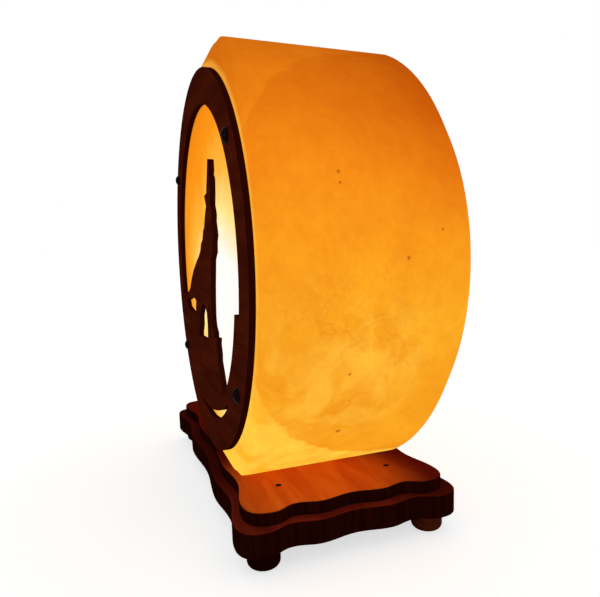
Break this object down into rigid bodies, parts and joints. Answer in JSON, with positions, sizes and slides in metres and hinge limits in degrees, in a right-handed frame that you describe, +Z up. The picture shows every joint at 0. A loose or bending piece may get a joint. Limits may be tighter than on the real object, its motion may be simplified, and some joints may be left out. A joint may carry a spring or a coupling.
{
  "type": "salt crystal lamp",
  "caption": "Lit drum-shaped rock salt table lamp on a scalloped two-step wooden base, with a cut-out plywood wolf ring in front and a screw-in bulb on a clip-in holder below.",
  "frame": {"origin": "middle of the footprint, on the table under the four feet", "axes": "+Z up; the cut-out panel faces -Y; the drum's axis lies along Y and +X is to the right as seen from the front"},
  "size_m": [0.2, 0.094, 0.2025],
  "materials": {
    "salt": "sawn and smoothed rock salt, lit from inside",
    "dark_plywood": "dark stained laser-cut plywood",
    "stained_board": "red-brown stained, satin",
    "stained_foot": "turned and stained",
    "black_screw": "black oxide",
    "nylon": "moulded nylon",
    "brass": "plain",
    "zinc_steel": "zinc plated",
    "spring_steel": "blued strip",
    "black_plastic": "moulded",
    "white_ceramic": "unglazed",
    "nickel_plate": "nickel plated",
    "solder": "dull solder",
    "black_glass": "black cast glass",
    "clear_glass": "clear glass",
    "tungsten": "glowing coil"
  },
  "bodies": {
    "lamp": {"salt_body": "salt", "front_panel": "dark_plywood", "panel_screws": "black_screw", "panel_plugs": "nylon", "upper_board": "stained_board", "lower_board": "stained_board", "board_pins": "black_screw", "base_screws": "zinc_steel", "base_plugs": "nylon", "foot_front_left": "stained_foot", "foot_front_right": "stained_foot", "foot_back_left": "stained_foot", "foot_back_right": "stained_foot", "foot_screws": "zinc_steel"},
    "light_holder": {"clip_strap": "spring_steel", "cord_nipple": "black_plastic", "holder_cap": "black_plastic", "holder_shell": "black_plastic", "holder_insert": "white_ceramic", "terminal_screws": "brass", "screw_shell": "brass", "centre_contact": "brass"},
    "bulb_foot": {"bulb_tip": "solder"},
    "bulb": {"bulb_insulator": "black_glass", "bulb_cap": "nickel_plate", "bulb_glass": "clear_glass", "bulb_stem": "clear_glass", "lead_wires": "solder", "filament": "tungsten"}
  },
  "joints": [
    {"name": "holder_pull", "type": "slide", "parent": "lamp", "child": "light_holder", "axis": [0, 0, -1], "range_m": [0, 0.098]},
    {"name": "bulb_rise", "type": "slide", "parent": "light_holder", "child": "bulb_foot", "axis": [0, 0, 1], "range_m": [0, 0.0141]},
    {"name": "bulb_turn", "type": "hinge", "parent": "bulb_foot", "child": "bulb", "pos_m": [0, 0, 0.04], "axis": [0, 0, 1], "range_deg": [0, 1800]}
  ],
  "couplings": [
    {"joint": "bulb_turn", "follows": "bulb_rise", "rad_per_m": 2228.1}
  ]
}
